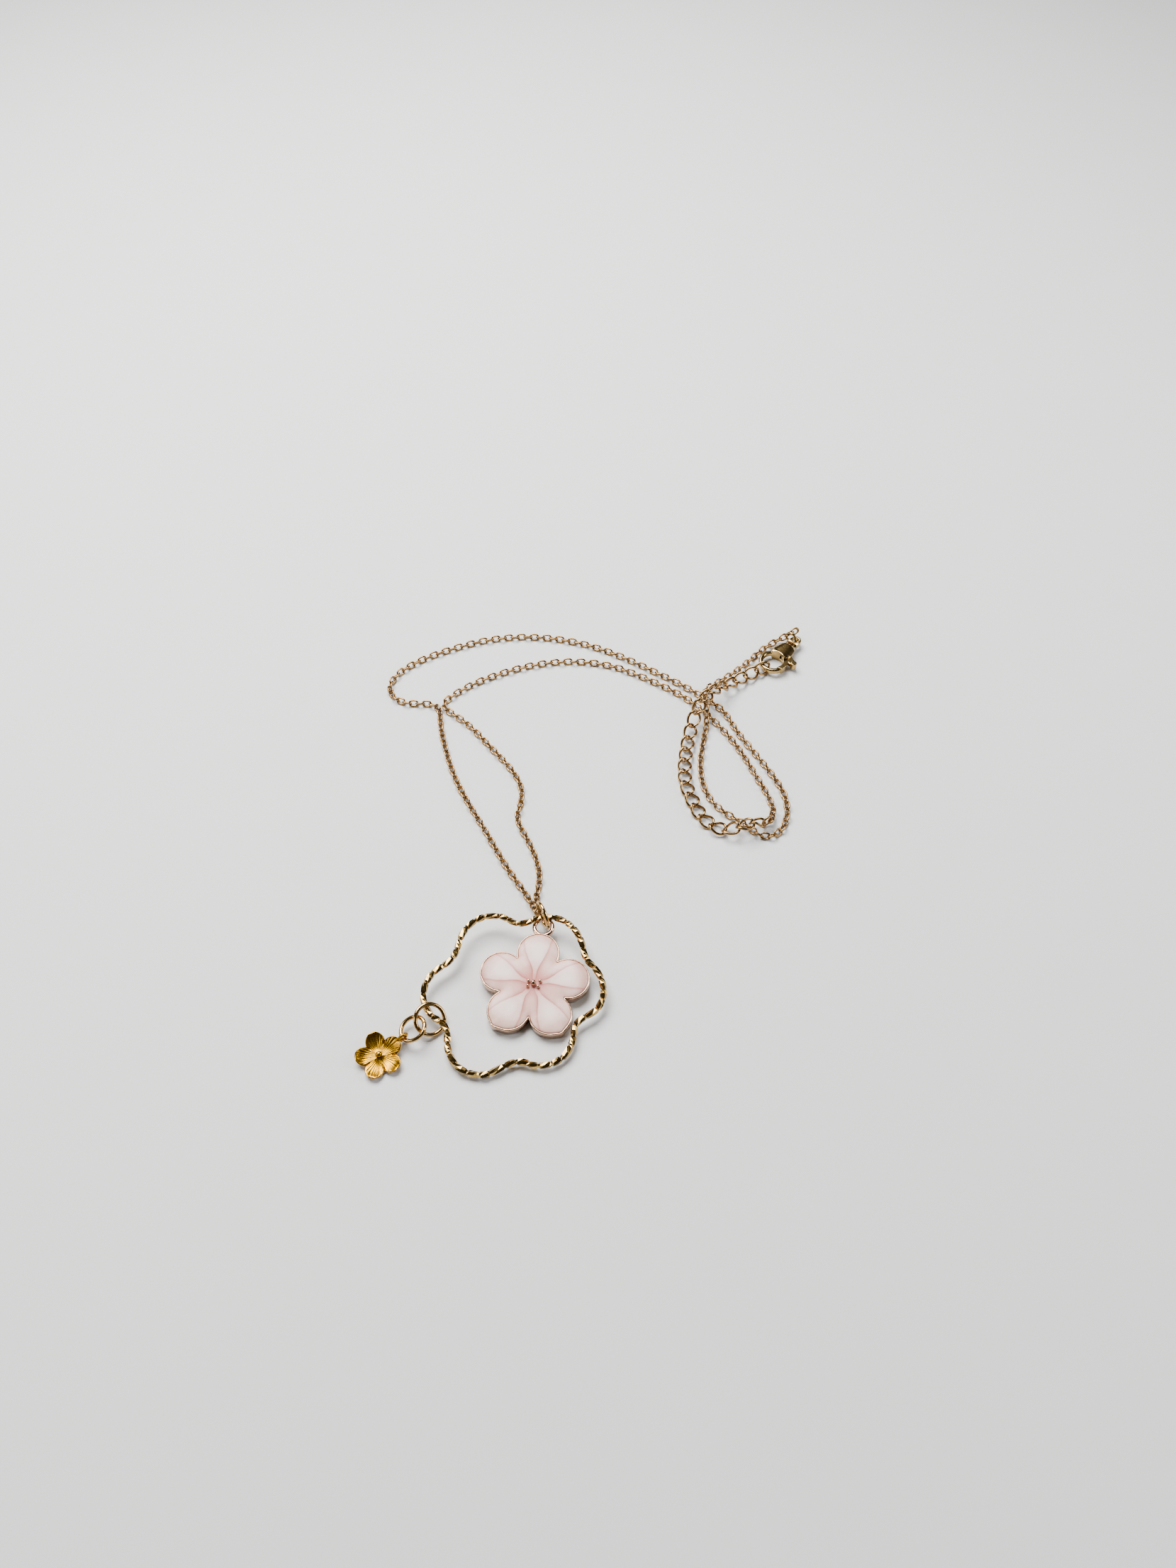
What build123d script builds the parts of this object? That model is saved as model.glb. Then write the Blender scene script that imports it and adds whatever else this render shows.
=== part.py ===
from build123d import *
from math import atan2, ceil, cos, degrees, pi, radians, sin, sqrt, tan
import os

# A flower pendant necklace, lying on a flat surface, in millimetres.
# +Z is up, +Y points away from the wearer's side of the pendant, and the origin
# is on the surface, under the middle of the whole necklace.

# Fine cable chain
chain_width = 1.6        # outside width of the cable chain
chain_gap = 0.1          # room left where one chain lies on another
bend_share = 0.45        # share of a run that the arc at its end may use

# Extender chain of twisted curb links
link_length = 4.2        # outside length of a link
link_width = 3.1         # outside width of a link
link_wire = 0.5          # wire of a link
link_twist = 45.0        # degrees that each end is turned from flat
link_pitch = 3.05        # from one link to the next, about
first_roll = -45.0       # degrees that the link in the clasp is turned to lie through it
first_rolled = 3         # links over which that turn fades out
last_roll = -20.0        # degrees that the link in the small ring is turned
last_rolled = 2          # links over which that turn fades out

# Clasp
claw_hole = 2.3          # radius of the claw's opening
claw_width = 1.0         # radial width of the claw
claw_height = 1.3        # height of the claw
claw_edge = 0.4          # rounding of the claw's edges
claw_start = 20.0        # degrees from the clasp's axis to the claw's root in the body
claw_tip = -130.0        # degrees to the inner edge of the claw's tip
claw_spare = 30.0        # degrees that the claw is first made too long
tip_gap = 0.12           # room between the claw's tip and the lever's
eye_thickness = 1.1      # height of the clasp's eye
clasp_height = 2.7       # height of the body over the lever
clasp_body_radius = 2.35 # round part of the body that holds the lever
clasp_body_reach = 3.4   # from the claw's middle to the middle of that round part
body_ramp = 1.2          # length over which the body thins down to the claw
eye_reach = 8.7          # from the claw's middle to the clasp's eye
eye_radius = 1.25        # outside of the clasp's eye
eye_hole = 0.8           # radius of the hole in the clasp's eye
lever_thickness = 1.0    # lever inside the body's slot
lever_gap = 0.06         # room on each side of the lever in its slot
lever_boss = 1.0         # round end of the lever about its pin
slot_room = 0.1          # room round that end in the slot
lever_pin = (3.2, -1.3)  # place of the pin from the claw's middle, along and across the clasp
pin_radius = 0.4         # pin that the lever turns on
pin_clearance = 0.05     # radial running clearance of the lever on its pin
pin_skin = 0.3           # body over each end of the pin
gate_height = 1.7        # height of the lever's closing arm
gate_root = -58.0        # degrees to where that arm gets thinner to enter the body
tongue_end = -16.0       # degrees to where its thin part ends inside the body
tongue_lap = 8.0         # degrees that the thin part runs into the thick one
knob_radius = 0.68       # thumb knob of the lever
knob_reach = 2.95        # from the pin to the middle of the thumb knob
knob_angle = -108.0      # degrees from the clasp's axis to the knob, seen from the pin
clasp_turn = 48.0        # degrees from +X to the clasp's long axis

# Jump rings: outside diameter and wire
pendant_ring_size = 5.95
pendant_ring_wire = 0.75
upper_ring_size = 6.4
upper_ring_wire = 0.8
lower_ring_size = 5.6
lower_ring_wire = 0.8
clasp_ring_size = 3.3
clasp_ring_wire = 0.6
extender_ring_size = 2.9
extender_ring_wire = 0.5
seat_gap = 0.1           # room between pieces that hang in or lie on each other
frame_rest = 0.25        # the frame lies on the charm's ring, so far off the surface
ring_play = 0.575        # room where one jump ring crosses another
crossing_spread = 32.0   # degrees on the upper ring from its middle crossing to each side
pendant_ring_lift = 0.05 # pendant ring off the surface
clasp_ring_lift = 0.02   # clasp ring off the surface

# Wavy wire flower frame
frame_reach = 17.0       # from its middle to the crest of a lobe
frame_wire = 1.4         # wire of the frame
frame_low_share = 0.935  # lowest point of the frame, as a share of frame_reach

# Enamel blossom
petal_radius = 4.1       # round end of a petal
petal_offset = 6.65      # from the blossom's middle to the middle of a petal's round end
heart_share = 0.98       # corners of the blossom's middle, as a share of petal_offset
corner_radius = 1.2      # rounding of the two lower petals' corners
corner_reach = 11.0      # from the blossom's middle to those corners
rim_height = 1.9         # height of the metal tray
rim_wall = 0.4           # wall of the metal tray
tray_floor = 0.6         # floor of the metal tray
enamel_gap = 0.03        # between the enamel and its tray
enamel_rise = 0.45       # enamel standing above the rim
enamel_round = 0.35      # rounding of the enamel's edge
blossom_eye_size = 4.4   # outside of the blossom's eye
blossom_eye_wire = 0.9   # wire of the blossom's eye
blossom_eye_lift = 0.2   # eye's wire over the tray's back
eye_sink = 0.32          # eye let into the tray's rim
bead_radius = 0.55       # middle bead
small_bead_radius = 0.34 # beads round the middle
bead_stem = 0.2          # radius of the stems under the beads
blossom_tilt = 4.0       # degrees that the blossom's top is raised
blossom_turn = 11.5      # degrees from +X to the first petal

# Small charm flower
charm_reach = 4.45       # from its middle to the tip of a petal
charm_petal_width = 3.6  # width of a petal
charm_sheet = 0.45       # thickness of a petal
charm_cup = 4.8          # radius that each petal is cupped to
charm_dish = 0.2         # petals' lowest point below the charm's middle plane
charm_cup_reach = 1.5    # from the charm's middle to the lowest point of a petal
charm_petal_long = 1.0   # length of a petal, as a share of its width
charm_petal_top = 1.1    # petals' tips above the charm's middle plane
charm_core = 1.6         # radius of the disc that joins the petals
charm_core_height = 0.55 # height of that disc
charm_core_drop = 0.15   # disc's back below the charm's middle plane
charm_bead = 0.62        # radius of the middle bead
charm_eye_size = 2.5     # outside of the charm's eye
charm_eye_wire = 0.6     # wire of the charm's eye
charm_eye_rise = 0.55    # middle of the eye over the charm's back
charm_turn = 40.0        # degrees from +X to the petal behind the eye
charm_tilt = 8.0         # degrees that the charm leans towards -Y

low = chain_width / 2                        # chain lying on the surface
over = 1.5 * chain_width + chain_gap         # chain lying on a chain
link_low = 0.8                               # middle of a flat link on the surface
link_over = over + chain_width + chain_gap   # link lying on two chains
link_side = chain_width + chain_gap + link_low  # link lying on one chain

# Routes of the chains, in order along each one: x, y and height
chain_long_route = [
    (-13.1, -19.45, 0.95), (-15.1, -15.6, low), (-17.8, -11.3, low), (-20.5, -6.6, low),
    (-23.9, 0.0, low), (-27.2, 5.8, low), (-30.0, 11.2, low), (-32.0, 16.2, low),
    (-33.5, 21.4, low), (-34.8, 26.4, low), (-35.3, 30.6, low), (-35.8, 33.4, low),
    (-38.6, 34.3, low), (-42.2, 34.1, low), (-45.6, 35.2, low), (-47.7, 38.6, low),
    (-46.4, 42.6, low), (-43.2, 45.9, low), (-38.6, 48.8, low), (-33.0, 51.4, low),
    (-25.6, 54.0, low), (-17.8, 54.9, low), (-9.8, 54.3, low), (-1.9, 52.1, low),
    (5.6, 48.4, low), (12.4, 44.0, low), (17.9, 40.4, low), (21.7, 37.5, low),
    (24.9, 34.9, low), (28.0, 31.8, low), (29.9, 26.6, low), (33.3, 20.6, low),
    (36.8, 14.4, low), (39.2, 8.8, low), (39.2, 3.2, low), (37.1, -1.2, low),
    (33.3, -2.3, low), (30.3, 1.1, low), (27.0, 3.3, low), (23.6, 6.6, low),
    (21.7, 11.6, low), (21.6, 17.6, low), (22.6, 23.2, low), (23.5, 27.0, low),
    (23.9, 31.0, over), (23.2, 36.6, over), (26.3, 40.0, low), (30.6, 43.2, low),
    (34.9, 47.4, low), (38.5, 51.7, low), (42.3, 55.0, low)]
chain_short_route = [
    (-12.1, -17.9, low), (-12.7, -14.8, low), (-12.2, -10.8, low), (-13.2, -6.6, low),
    (-15.2, -2.0, low), (-17.6, 2.6, low), (-16.4, 7.2, low), (-16.6, 11.4, low),
    (-19.2, 16.2, low), (-24.2, 22.3, low), (-28.3, 27.6, low), (-31.9, 30.9, low),
    (-34.45, 33.35, low), (-33.0, 36.4, low), (-29.8, 39.2, low), (-25.6, 41.8, low),
    (-18.8, 44.8, low), (-12.0, 46.6, low), (-4.6, 47.1, low), (2.6, 45.9, low),
    (9.2, 42.7, low), (15.0, 39.1, low), (19.3, 36.1, low), (22.0, 33.3, low),
    (25.0, 29.8, low), (28.2, 25.1, low), (30.9, 20.0, low), (33.2, 14.2, low),
    (35.3, 9.2, low), (36.4, 5.0, low), (36.1, 2.4, low)]
extender_route = [
    (38.62, 44.84, 1.45), (35.8, 43.2, 1.45), (32.2, 41.2, 1.2), (28.7, 38.4, 1.9),
    (25.6, 35.5, link_over), (21.9, 31.2, link_over), (20.3, 27.2, 1.6), (19.2, 22.8, link_low),
    (18.2, 16.6, link_low), (18.1, 11.4, link_low), (19.5, 7.0, link_low), (21.2, 2.4, link_low),
    (25.2, -0.9, link_low), (28.8, -0.7, link_side + 0.2), (31.3, -0.1, link_side + 0.6), (33.8, 0.8, 1.7)]

# Lobes of the wire frame: the angle and reach of each crest and of the hollow after it.
# Reaches are shares of frame_reach.
frame_lobes = [
    (56.5, 1.02, 88.0, 0.83), (114.5, 0.985, 150.0, 0.81), (181.0, 0.985, 209.0, 0.82),
    (240.0, 1.01, 274.0, 0.785), (303.0, 0.915, 333.6, 0.78), (362.0, 0.985, 386.5, 0.91)]
frame_shoulder = 15.0        # degrees from a crest to its shoulders
shoulder_share = 0.97        # shoulders, as a share of their crest's reach
crest_share = 1.025          # corners of the route over a crest, which the arcs cut
hollow_share = 0.96          # corners of the route in a hollow, which the arcs cut

blossom_middle = (-12.7, -36.7)
eye_angle = 82.8             # degrees from +X to the blossom's eye
pendant_ring_middle = (-11.25, -22.0)
pendant_ring_turn = 114.0    # degrees from +X to the ring's plane
frame_hang_angle = 72.5      # degrees from the frame's middle to the pendant ring
frame_hang_share = 0.93      # reach of the frame there, as a share of frame_reach
frame_hang_drop = 1.2365     # from the ring's middle to the frame's line
charm_hold_angle = 198.0     # degrees from the frame's middle to the charm's upper ring
charm_hold_share = 0.35      # each way from there to the ring's crossings, as a share of the ring
upper_ring_way = 230.9       # degrees from there to the upper ring's middle
lower_ring_way = 201.6       # degrees from that ring's middle to the lower ring
lower_ring_lap = 0.6         # lap of the two rings' wires
lower_ring_drop = 0.3165     # lower ring below the upper one
claw_middle = (39.9, 46.1)
whole_middle = (-0.58, 0.42)  # middle of the whole necklace, in the coordinates above


def bend_radii(points, limit=bend_share):
    """Radius of the arc at each inner point, from the shorter run beside it."""
    radii = []
    for before, here, after in zip(points, points[1:], points[2:]):
        back = Vector(*here) - Vector(*before)
        forth = Vector(*after) - Vector(*here)
        half_turn = radians(back.get_angle(forth)) / 2
        radii.append(limit * min(back.length, forth.length) / tan(half_turn))
    return radii


def closed_radii(points):
    """The same for a closed route."""
    return bend_radii([points[-1], *points, points[0]])


def chain_tube(points):
    """Round tube of the chain's width along runs joined by tangent arcs."""
    with BuildPart() as tube:
        with BuildLine() as route:
            FilletPolyline(*points, radius=bend_radii(points))
        with BuildSketch(Plane(origin=route.line @ 0, z_dir=route.line % 0)):
            Circle(chain_width / 2)
        sweep(path=route.wire())
    return tube.part, route.wire().length


def jump_ring(plane, size, wire):
    """Round ring lying in a plane."""
    with BuildPart(plane) as ring:
        Torus((size - wire) / 2, wire / 2)
    return ring.part


def ring_plane(above, below, radius, beside):
    """Plane of a ring that runs through two points, with its middle on the side of a third."""
    chord = below - above
    middle = (above + below) / 2
    side = beside - middle
    side = (side - chord * (side.dot(chord) / chord.dot(chord))).normalized()
    centre = middle + side * sqrt(radius**2 - (chord.length / 2) ** 2)
    return Plane(origin=centre, x_dir=chord, z_dir=chord.cross(side))


def finish(piece, name):
    piece = piece.moved(Location((-whole_middle[0], -whole_middle[1], 0)))
    piece.label = name
    export_step(piece, f"parts/{name}.step")


os.makedirs("parts", exist_ok=True)

# Fine chain, in two strands
for name, points in (("chain_long", chain_long_route), ("chain_short", chain_short_route)):
    strand, strand_length = chain_tube(points)
    finish(strand, name)
    section = pi * chain_width**2 / 4
    print(name, "length", round(strand_length, 1), "volume share",
          round(strand.volume / (section * strand_length), 4))
    print("  bend radii", [round(r, 1) for r in bend_radii(points)])

# One curb link: an oval of wire, each end turned by the twist. Half of it is swept and
# the other half is the same turned over.
half_length = (link_length - link_wire) / 2
half_width = (link_width - link_wire) / 2
most_twist = radians(link_twist)
oval_points = []
for step in range(7):
    around = radians(-90 + 30 * step)
    twist = most_twist * cos(around)
    across = half_width * sin(around)
    oval_points.append((half_length * cos(around), across * cos(twist), across * sin(twist)))
with BuildPart() as curb_link:
    with BuildLine() as half_oval:
        Spline(*oval_points, tangents=[(half_length, 0, -half_width * most_twist),
                                       (-half_length, 0, -half_width * most_twist)])
    half_path = half_oval.wire()
    with BuildSketch(Plane(origin=half_path @ 0, z_dir=half_path % 0)):
        Circle(link_wire / 2)
    sweep(path=half_path)
    add(curb_link.part.rotate(Axis.Y, 180))

# Extender chain: links from the clasp's claw to the small ring
with BuildLine() as extender_path:
    FilletPolyline(*extender_route, radius=bend_radii(extender_route))
link_count = round(extender_path.wire().length / link_pitch)
joints = [extender_path.line @ (n / link_count) for n in range(link_count + 1)]
for n, (start, end) in enumerate(zip(joints, joints[1:])):
    along = end - start
    roll = (first_roll * max(0.0, 1 - n / first_rolled)
            + last_roll * max(0.0, 1 - (link_count - 1 - n) / last_rolled))
    flat = Plane(origin=(start + end) / 2, x_dir=along,
                 z_dir=Vector(0, 0, 1) - along * (along.Z / along.dot(along)))
    with BuildPart() as extender_link:
        add(curb_link.part.moved(flat.location * Location((0, 0, 0), (roll, 0, 0))))
    finish(extender_link.part, f"extender_link_{n + 1:02d}")

# Small ring between the extender and the short strand
ring_along = Vector(*chain_short_route[-1]) - joints[-1]
ring_along = Vector(ring_along.X, ring_along.Y, 0).normalized()
ring_reach = extender_ring_size / 2 - extender_ring_wire - seat_gap
extender_ring_plane = Plane(origin=joints[-1] + ring_along * ring_reach, x_dir=ring_along,
                            z_dir=(-ring_along.Y, ring_along.X, 0))
finish(jump_ring(extender_ring_plane, extender_ring_size, extender_ring_wire), "extender_ring")

# Clasp. Its own frame has the claw's middle at the origin and the eye along +X.
clasp_mid = clasp_height / 2
clasp_plane = Plane(origin=(*claw_middle, 0),
                    x_dir=(cos(radians(clasp_turn)), sin(radians(clasp_turn)), 0), z_dir=(0, 0, 1))
claw_outside = claw_hole + claw_width
# The claw's tip and the lever's meet on an arc round the pin, so the lever can swing past.
tip_reach = (Vector(*lever_pin) - Vector(claw_hole * cos(radians(claw_tip)),
                                         claw_hole * sin(radians(claw_tip)))).length
claw_end = claw_tip + claw_spare   # the claw is made this long, and then cut on the arc


def sector(from_angle, to_angle, reach):
    """Pie slice round the origin of the sketch."""
    turn = to_angle - from_angle
    steps = max(2, ceil(abs(turn) / 45))
    corners = [(0, 0)]
    for n in range(steps + 1):
        angle = radians(from_angle + turn * n / steps)
        corners.append((reach * cos(angle), reach * sin(angle)))
    Polygon(*corners, align=None, mode=Mode.INTERSECT)


with BuildPart() as clasp_body:
    with BuildSketch(clasp_plane):
        with BuildSketch(mode=Mode.PRIVATE) as ends:
            with Locations((clasp_body_reach, 0)):
                Circle(clasp_body_radius)
            with Locations((eye_reach, 0)):
                Circle(eye_radius)
        make_hull(ends.sketch.edges())
        Circle(claw_hole, mode=Mode.SUBTRACT)
        with Locations((eye_reach, 0)):
            Circle(eye_hole, mode=Mode.SUBTRACT)
    extrude(amount=clasp_height)
    body_start = clasp_body_reach - clasp_body_radius
    body_end = clasp_body_reach + clasp_body_radius
    with BuildSketch(Plane(origin=clasp_plane.origin + clasp_plane.y_dir * 2 * claw_outside,
                           x_dir=clasp_plane.x_dir, z_dir=-clasp_plane.y_dir)):
        with BuildLine():
            Polyline((0, clasp_mid - claw_height / 2), (body_start, clasp_mid - claw_height / 2),
                     (body_start + body_ramp, 0), (body_end, 0),
                     (eye_reach - eye_radius, clasp_mid - eye_thickness / 2),
                     (eye_reach + 2 * eye_radius, clasp_mid - eye_thickness / 2),
                     (eye_reach + 2 * eye_radius, clasp_mid + eye_thickness / 2),
                     (eye_reach - eye_radius, clasp_mid + eye_thickness / 2),
                     (body_end, clasp_height), (body_start + body_ramp, clasp_height),
                     (body_start, clasp_mid + claw_height / 2),
                     (0, clasp_mid + claw_height / 2), close=True)
        make_face()
    extrude(amount=4 * claw_outside, mode=Mode.INTERSECT)
    claw_root = clasp_plane.rotated((0, 0, claw_start))
    with BuildSketch(Plane(origin=claw_root.origin + Vector(0, 0, clasp_mid),
                           x_dir=claw_root.x_dir, z_dir=-claw_root.y_dir)):
        with Locations((claw_hole + claw_width / 2, 0)):
            RectangleRounded(claw_width, claw_height, claw_edge)
    revolve(axis=Axis(clasp_plane.origin, (0, 0, 1)), revolution_arc=360 + claw_end - claw_start)
    with BuildSketch(clasp_plane):
        with Locations(lever_pin):
            Circle(tip_reach)
        with Locations((-claw_hole / 2 - claw_width / 2, -claw_outside)):
            Rectangle(claw_outside, 2 * claw_hole, mode=Mode.INTERSECT)
    extrude(amount=clasp_height, mode=Mode.SUBTRACT)
    slot_right = lever_pin[0] + lever_boss + slot_room
    slot_top = lever_pin[1] + lever_boss + slot_room
    with BuildSketch(clasp_plane.offset(clasp_mid - lever_thickness / 2 - lever_gap)):
        with Locations((slot_right / 2, slot_top / 2 - claw_outside)):
            Rectangle(slot_right, slot_top + 2 * claw_outside)
    extrude(amount=lever_thickness + 2 * lever_gap, mode=Mode.SUBTRACT)
    with BuildSketch(clasp_plane.offset(pin_skin)):
        with Locations(lever_pin):
            Circle(pin_radius)
    extrude(amount=clasp_height - 2 * pin_skin)
finish(clasp_body.part, "clasp_body")

knob_middle = (lever_pin[0] + knob_reach * cos(radians(knob_angle)),
               lever_pin[1] + knob_reach * sin(radians(knob_angle)))
with BuildPart() as clasp_lever:
    with BuildSketch(clasp_plane.offset(clasp_mid - gate_height / 2)):
        Circle(claw_outside)
        Circle(claw_hole, mode=Mode.SUBTRACT)
        sector(claw_tip - claw_spare, gate_root, 3 * claw_outside)
        with Locations(lever_pin):
            Circle(tip_reach - tip_gap, mode=Mode.INTERSECT)
    extrude(amount=gate_height)
    with BuildSketch(clasp_plane.offset(clasp_mid - lever_thickness / 2)):
        with BuildSketch(mode=Mode.PRIVATE) as arm:
            with Locations(lever_pin):
                Circle(lever_boss)
            with Locations(knob_middle):
                Circle(knob_radius)
        make_hull(arm.sketch.edges())
        with BuildSketch(mode=Mode.PRIVATE) as tongue:
            Circle(claw_outside)
            Circle(claw_hole, mode=Mode.SUBTRACT)
            sector(gate_root - tongue_lap, tongue_end, 3 * claw_outside)
        add(tongue.sketch)
    extrude(amount=lever_thickness)
    with BuildSketch(clasp_plane.offset(clasp_mid - gate_height / 2)):
        with Locations(knob_middle):
            Circle(knob_radius)
    extrude(amount=gate_height)
    with BuildSketch(clasp_plane):
        with Locations(lever_pin):
            Circle(pin_radius + pin_clearance)
    extrude(amount=clasp_height, mode=Mode.SUBTRACT)
finish(clasp_lever.part, "clasp_lever")

clasp_ring_radius = (clasp_ring_size - clasp_ring_wire) / 2
clasp_ring_plane = Plane(
    origin=clasp_plane.from_local_coords(
        Vector(eye_reach, clasp_ring_radius - seat_gap, clasp_ring_size / 2 + clasp_ring_lift)),
    x_dir=clasp_plane.y_dir, z_dir=clasp_plane.x_dir)
finish(jump_ring(clasp_ring_plane, clasp_ring_size, clasp_ring_wire), "clasp_ring")

# Blossom, tilted so that its lowest petal meets the surface
petal_reach = petal_offset + petal_radius
petal_turns = [blossom_turn + 72 * n for n in range(5)]
corner_petals = (3, 4)       # the lower petals, which end in a corner
blossom_low = petal_radius - petal_offset * min(sin(radians(turn)) for turn in petal_turns)
tilt = radians(blossom_tilt)
blossom_plane = Plane(origin=(*blossom_middle, blossom_low * sin(tilt)), x_dir=(1, 0, 0),
                      z_dir=(0, -sin(tilt), cos(tilt)))


def petals(shrink=0):
    """Outline of the blossom, drawn in by a distance."""
    RegularPolygon(petal_offset * heart_share, 5, rotation=blossom_turn)
    for n, turn in enumerate(petal_turns):
        way = Vector(cos(radians(turn)), sin(radians(turn)))
        with BuildSketch(mode=Mode.PRIVATE) as petal:
            with Locations(way * petal_offset):
                Circle(petal_radius)
            if n in corner_petals:
                with Locations(way * (corner_reach - corner_radius)):
                    Circle(corner_radius)
        make_hull(petal.sketch.edges())
    if shrink:
        offset(amount=-shrink, kind=Kind.ARC, mode=Mode.REPLACE)


bead_places = [(0.0, 0.0, bead_radius)]
for angle, reach in ((20.0, 1.35), (-35.0, 1.1), (150.0, 1.05), (205.0, 1.15)):
    bead_places.append((reach * cos(radians(angle)), reach * sin(radians(angle)),
                        small_bead_radius))
eye_middle = petal_reach + blossom_eye_size / 2 - eye_sink
eye_height = blossom_eye_wire / 2 + blossom_eye_lift
enamel_top = rim_height + enamel_rise

with BuildPart(blossom_plane) as blossom_setting:
    with BuildSketch(blossom_plane):
        petals()
    extrude(amount=rim_height)
    with BuildSketch(blossom_plane.offset(tray_floor)):
        petals(rim_wall)
    extrude(amount=rim_height, mode=Mode.SUBTRACT)
    for x, y, radius in bead_places:
        with Locations((x, y, tray_floor / 2)):
            Cylinder(bead_stem, enamel_top + seat_gap / 2 + radius - tray_floor / 2,
                     align=(Align.CENTER, Align.CENTER, Align.MIN))
        with Locations((x, y, enamel_top + seat_gap / 2 + radius)):
            Sphere(radius)
    with Locations((eye_middle * cos(radians(eye_angle)), eye_middle * sin(radians(eye_angle)),
                    eye_height)):
        Torus((blossom_eye_size - blossom_eye_wire) / 2, blossom_eye_wire / 2)
finish(blossom_setting.part, "blossom_setting")

with BuildPart(blossom_plane) as blossom_enamel:
    with BuildSketch(blossom_plane.offset(tray_floor + enamel_gap)):
        petals(rim_wall + enamel_gap)
    extrude(amount=enamel_top - tray_floor - enamel_gap)
    top_face = blossom_enamel.faces().sort_by(Axis(blossom_plane.origin, blossom_plane.z_dir))[-1]
    fillet(top_face.edges(), enamel_round)
    with BuildSketch(blossom_plane):
        for x, y, radius in bead_places:
            with Locations((x, y)):
                Circle(bead_stem + enamel_gap)
    extrude(amount=2 * enamel_top, mode=Mode.SUBTRACT)
finish(blossom_enamel.part, "blossom_enamel")

# Wire frame: its lower edge on the surface, its upper edge on the blossom's eye
eye_top = blossom_plane.from_local_coords(
    Vector((eye_middle + (blossom_eye_size - blossom_eye_wire) / 2) * cos(radians(eye_angle)),
           (eye_middle + (blossom_eye_size - blossom_eye_wire) / 2) * sin(radians(eye_angle)),
           eye_height + blossom_eye_wire / 2))
hang_reach = frame_hang_share * frame_reach + frame_hang_drop
frame_middle = (pendant_ring_middle[0] - hang_reach * cos(radians(frame_hang_angle)),
                pendant_ring_middle[1] - hang_reach * sin(radians(frame_hang_angle)))
frame_bottom = frame_reach * frame_low_share
frame_rise = eye_top.Z + seat_gap - frame_rest
frame_run = eye_top.Y - (frame_middle[1] - frame_bottom)
frame_tilt = atan2(frame_rise, frame_run)
frame_plane = Plane(
    origin=(*frame_middle, frame_rest + frame_wire / 2 + frame_bottom * tan(frame_tilt)),
    x_dir=(1, 0, 0), z_dir=(0, -sin(frame_tilt), cos(frame_tilt)))


def polar(angle, share):
    """Point of the frame's plane in a direction from its middle."""
    return (frame_reach * share * cos(radians(angle)), frame_reach * share * sin(radians(angle)))


frame_points = []
for crest, crest_reach, hollow, hollow_reach in frame_lobes:
    frame_points.append(polar(crest - frame_shoulder, crest_reach * shoulder_share))
    frame_points.append(polar(crest, crest_reach * crest_share))
    frame_points.append(polar(crest + frame_shoulder, crest_reach * shoulder_share))
    frame_points.append(polar(hollow, hollow_reach * hollow_share))
with BuildPart() as flower_frame:
    with BuildLine(frame_plane) as frame_line:
        FilletPolyline(*frame_points, radius=closed_radii([(x, y, 0) for x, y in frame_points]),
                       close=True)
    frame_wire_path = frame_line.wire()
    with BuildSketch(Plane(origin=frame_wire_path @ 0, z_dir=frame_wire_path % 0)):
        Circle(frame_wire / 2)
    sweep(path=frame_wire_path)
print("frame length", round(frame_wire_path.length, 1), "volume share",
      round(flower_frame.part.volume / (pi * frame_wire**2 / 4 * frame_wire_path.length), 4))
print("  bend radii", [round(r, 1) for r in closed_radii([(x, y, 0) for x, y in frame_points])])
finish(flower_frame.part, "flower_frame")

# Ring that carries the chain, the frame and the blossom
ring_side = (cos(radians(pendant_ring_turn)), sin(radians(pendant_ring_turn)), 0)
pendant_ring_plane = Plane(
    origin=(*pendant_ring_middle, pendant_ring_size / 2 + pendant_ring_lift), x_dir=ring_side,
    z_dir=(ring_side[1], -ring_side[0], 0))
finish(jump_ring(pendant_ring_plane, pendant_ring_size, pendant_ring_wire), "pendant_ring")

# Charm rings: the upper one runs over the frame's wire and back under it
upper_radius = (upper_ring_size - upper_ring_wire) / 2
lower_radius = (lower_ring_size - lower_ring_wire) / 2


def frame_share(angle):
    """Share of the frame's line, from its start, where it runs in a direction from its middle."""
    steps = 2000

    def off(n):
        flat = frame_plane.to_local_coords(frame_wire_path @ (n / steps))
        return abs((degrees(atan2(flat.Y, flat.X)) - angle + 180) % 360 - 180)

    return min(range(steps), key=off) / steps


hold_at = frame_share(charm_hold_angle)
hold_share = charm_hold_share * upper_ring_size / frame_wire_path.length
lift = Vector(0, 0, (frame_wire + upper_ring_wire) / 2 + 1.5 * seat_gap)
above = frame_wire_path @ ((hold_at - hold_share) % 1) + lift
below = frame_wire_path @ ((hold_at + hold_share) % 1) - lift
upper_way = Vector(cos(radians(upper_ring_way)), sin(radians(upper_ring_way)))
upper_plane = ring_plane(above, below, upper_radius, (above + below) / 2 + upper_way)
finish(jump_ring(upper_plane, upper_ring_size, upper_ring_wire), "charm_ring_upper")

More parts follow.
